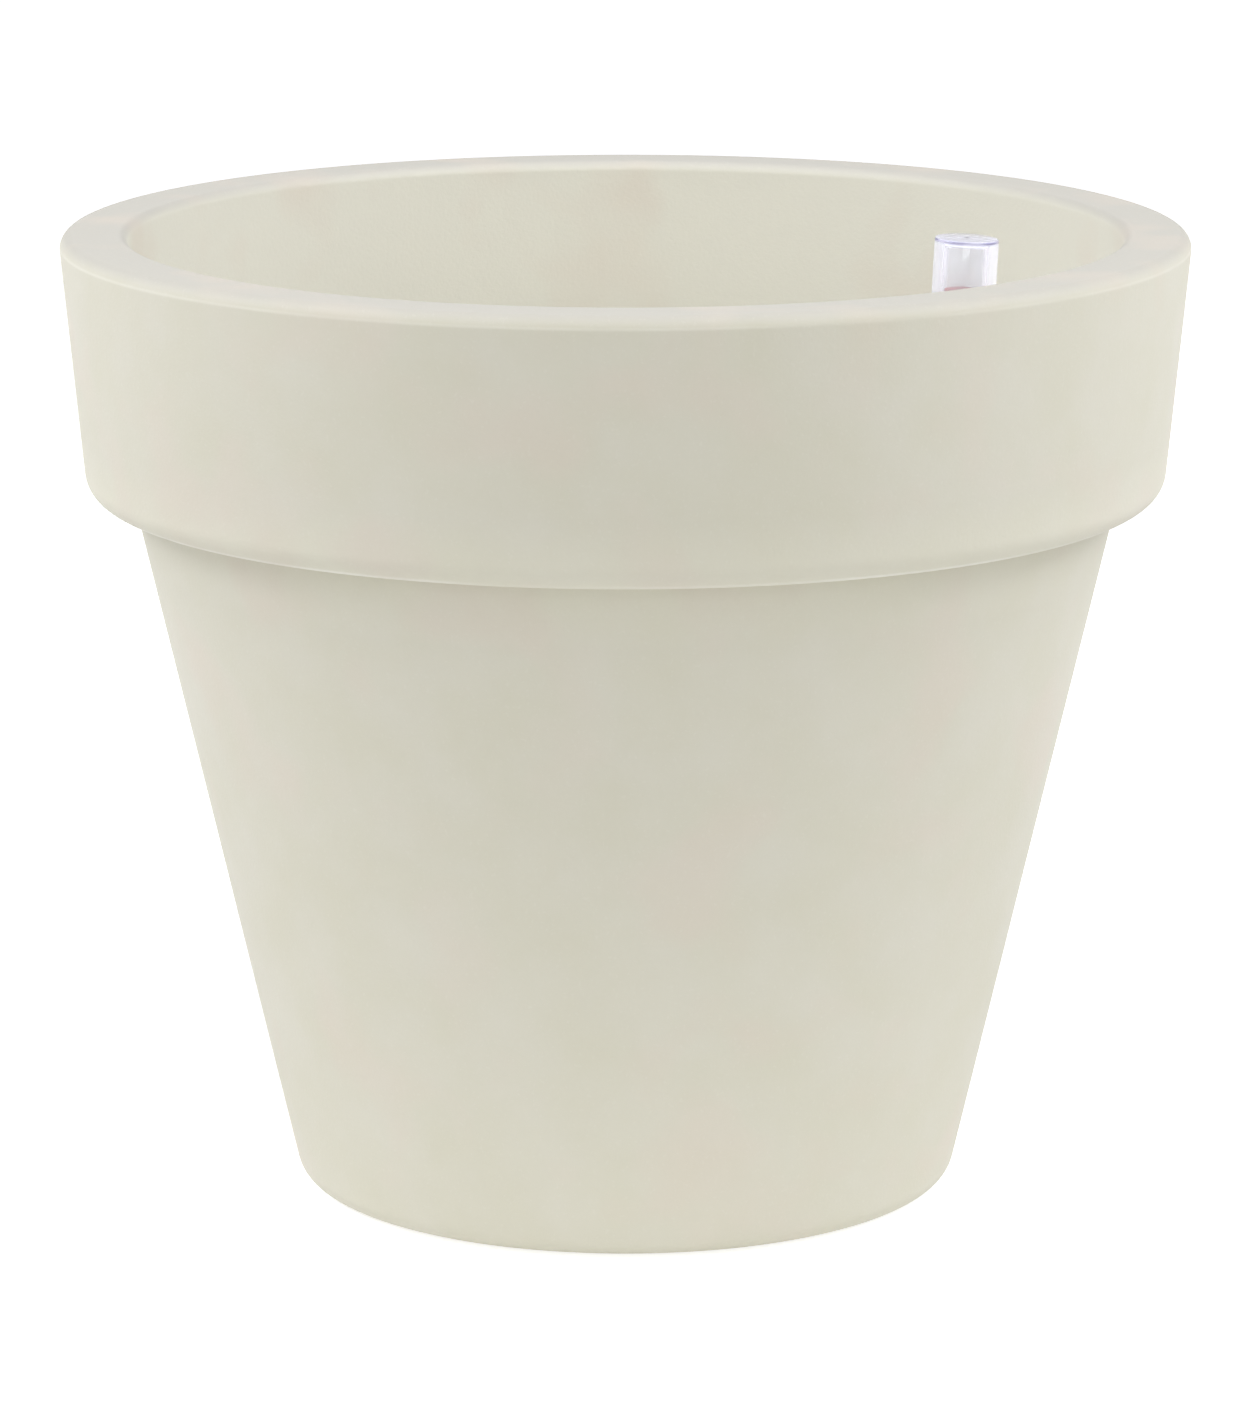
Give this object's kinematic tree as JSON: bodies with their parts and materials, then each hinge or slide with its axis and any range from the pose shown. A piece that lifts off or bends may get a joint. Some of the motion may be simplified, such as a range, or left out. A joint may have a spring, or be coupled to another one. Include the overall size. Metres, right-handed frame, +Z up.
{
  "type": "self watering planter",
  "caption": "Round tapered plant pot with a deep collar, holding a lift-out tray over a water reservoir, with wicking baskets, a fill tube and a float level gauge.",
  "frame": {"origin": "centre of the foot ring, on the ground", "axes": "+Z up along the pot's axis, +X towards the level gauge"},
  "size_m": [0.4988, 0.4988, 0.43],
  "materials": {
    "pot_plastic": "fine matte rotomoulded skin, ivory",
    "insert_plastic": "injection-moulded, fine matte texture, near black",
    "drain_plastic": "injection-moulded, satin, dark grey",
    "rubber": "matte black rubber",
    "tube_plastic": "extruded, satin, near black",
    "float_foam": "moulded closed-cell foam, white",
    "rod_plastic": "smooth, natural white",
    "indicator_red": "smooth gloss red",
    "clear_plastic": "clear polished plastic"
  },
  "bodies": {
    "pot": {"pot_shell": "pot_plastic", "collar_vent_plug": "pot_plastic", "drain_fitting": "drain_plastic", "drain_gasket": "rubber", "drain_locknut": "drain_plastic"},
    "insert": {"separator_tray": "insert_plastic", "support_leg_outer_1": "insert_plastic", "support_leg_outer_2": "insert_plastic", "support_leg_outer_3": "insert_plastic", "support_leg_outer_4": "insert_plastic", "support_leg_outer_5": "insert_plastic", "support_leg_outer_6": "insert_plastic", "support_leg_inner_1": "insert_plastic", "support_leg_inner_2": "insert_plastic", "support_leg_inner_3": "insert_plastic", "wicking_basket_1": "insert_plastic", "wicking_basket_2": "insert_plastic", "wicking_basket_3": "insert_plastic", "foot_strainer": "tube_plastic", "fill_tube": "tube_plastic", "tube_grommet": "rubber", "rod_guide": "tube_plastic"},
    "level_float": {"float": "float_foam", "float_rod": "rod_plastic", "indicator_disc": "indicator_red"},
    "gauge_head": {"gauge_cap": "clear_plastic"},
    "drain_plug": {"drain_plug": "drain_plastic", "drain_plug_oring": "rubber"}
  },
  "joints": [
    {"name": "insert_lift", "type": "slide", "parent": "pot", "child": "insert", "axis": [0, 0, 1], "range_m": [0, 0.44]},
    {"name": "float_travel", "type": "slide", "parent": "insert", "child": "level_float", "axis": [0.0496, 0, 0.9988], "range_m": [0, 0.0195]},
    {"name": "cap_lift", "type": "slide", "parent": "insert", "child": "gauge_head", "axis": [0.0496, 0, 0.9988], "range_m": [0, 0.066]},
    {"name": "drain_plug_turn", "type": "hinge", "parent": "pot", "child": "drain_plug", "pos_m": [0, 0, 0.005], "axis": [0, 0, -1], "range_deg": [0, 90]}
  ]
}
